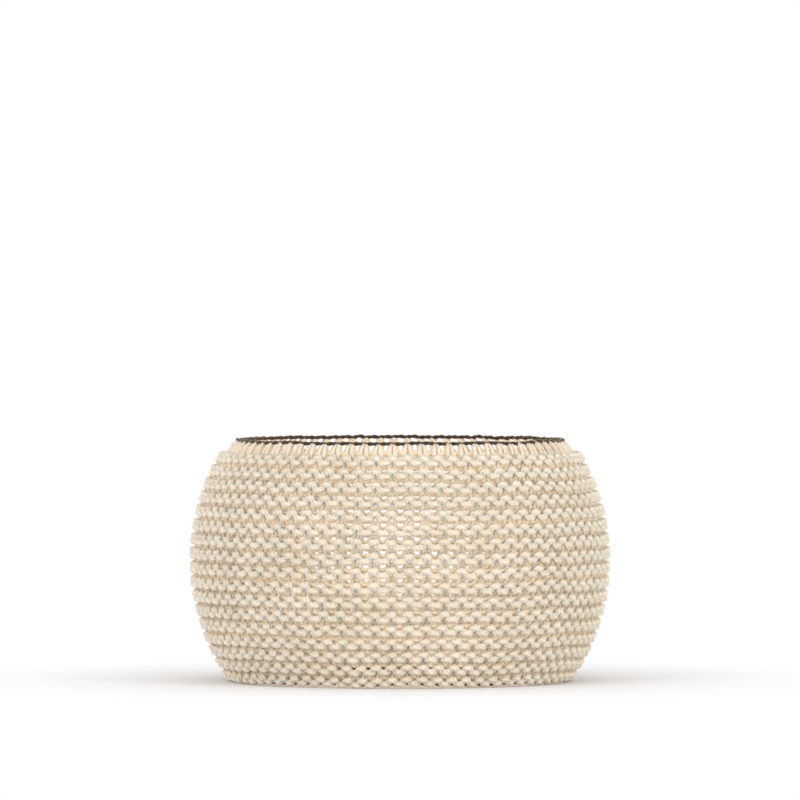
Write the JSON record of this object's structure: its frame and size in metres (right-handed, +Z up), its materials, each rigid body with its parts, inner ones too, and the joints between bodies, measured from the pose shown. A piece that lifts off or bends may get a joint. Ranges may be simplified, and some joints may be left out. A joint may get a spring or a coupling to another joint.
{
  "type": "bulb cover sleeve",
  "caption": "Open-ended sleeve knitted in garter stitch from soft beige yarn, which hugs the belly of a round globe bulb and softens its light, with level rims.",
  "frame": {"origin": "centre of the bottom rim, on the surface that the sleeve stands on", "axes": "+Z up along the sleeve's axis, from the bottom rim to the top rim; the sleeve is the same all round"},
  "size_m": [0.1338, 0.1338, 0.077],
  "materials": {
    "yarn": "soft matte cotton yarn, knitted, natural beige"
  },
  "bodies": {
    "root": {"knitted_sleeve": "yarn"}
  },
  "joints": []
}
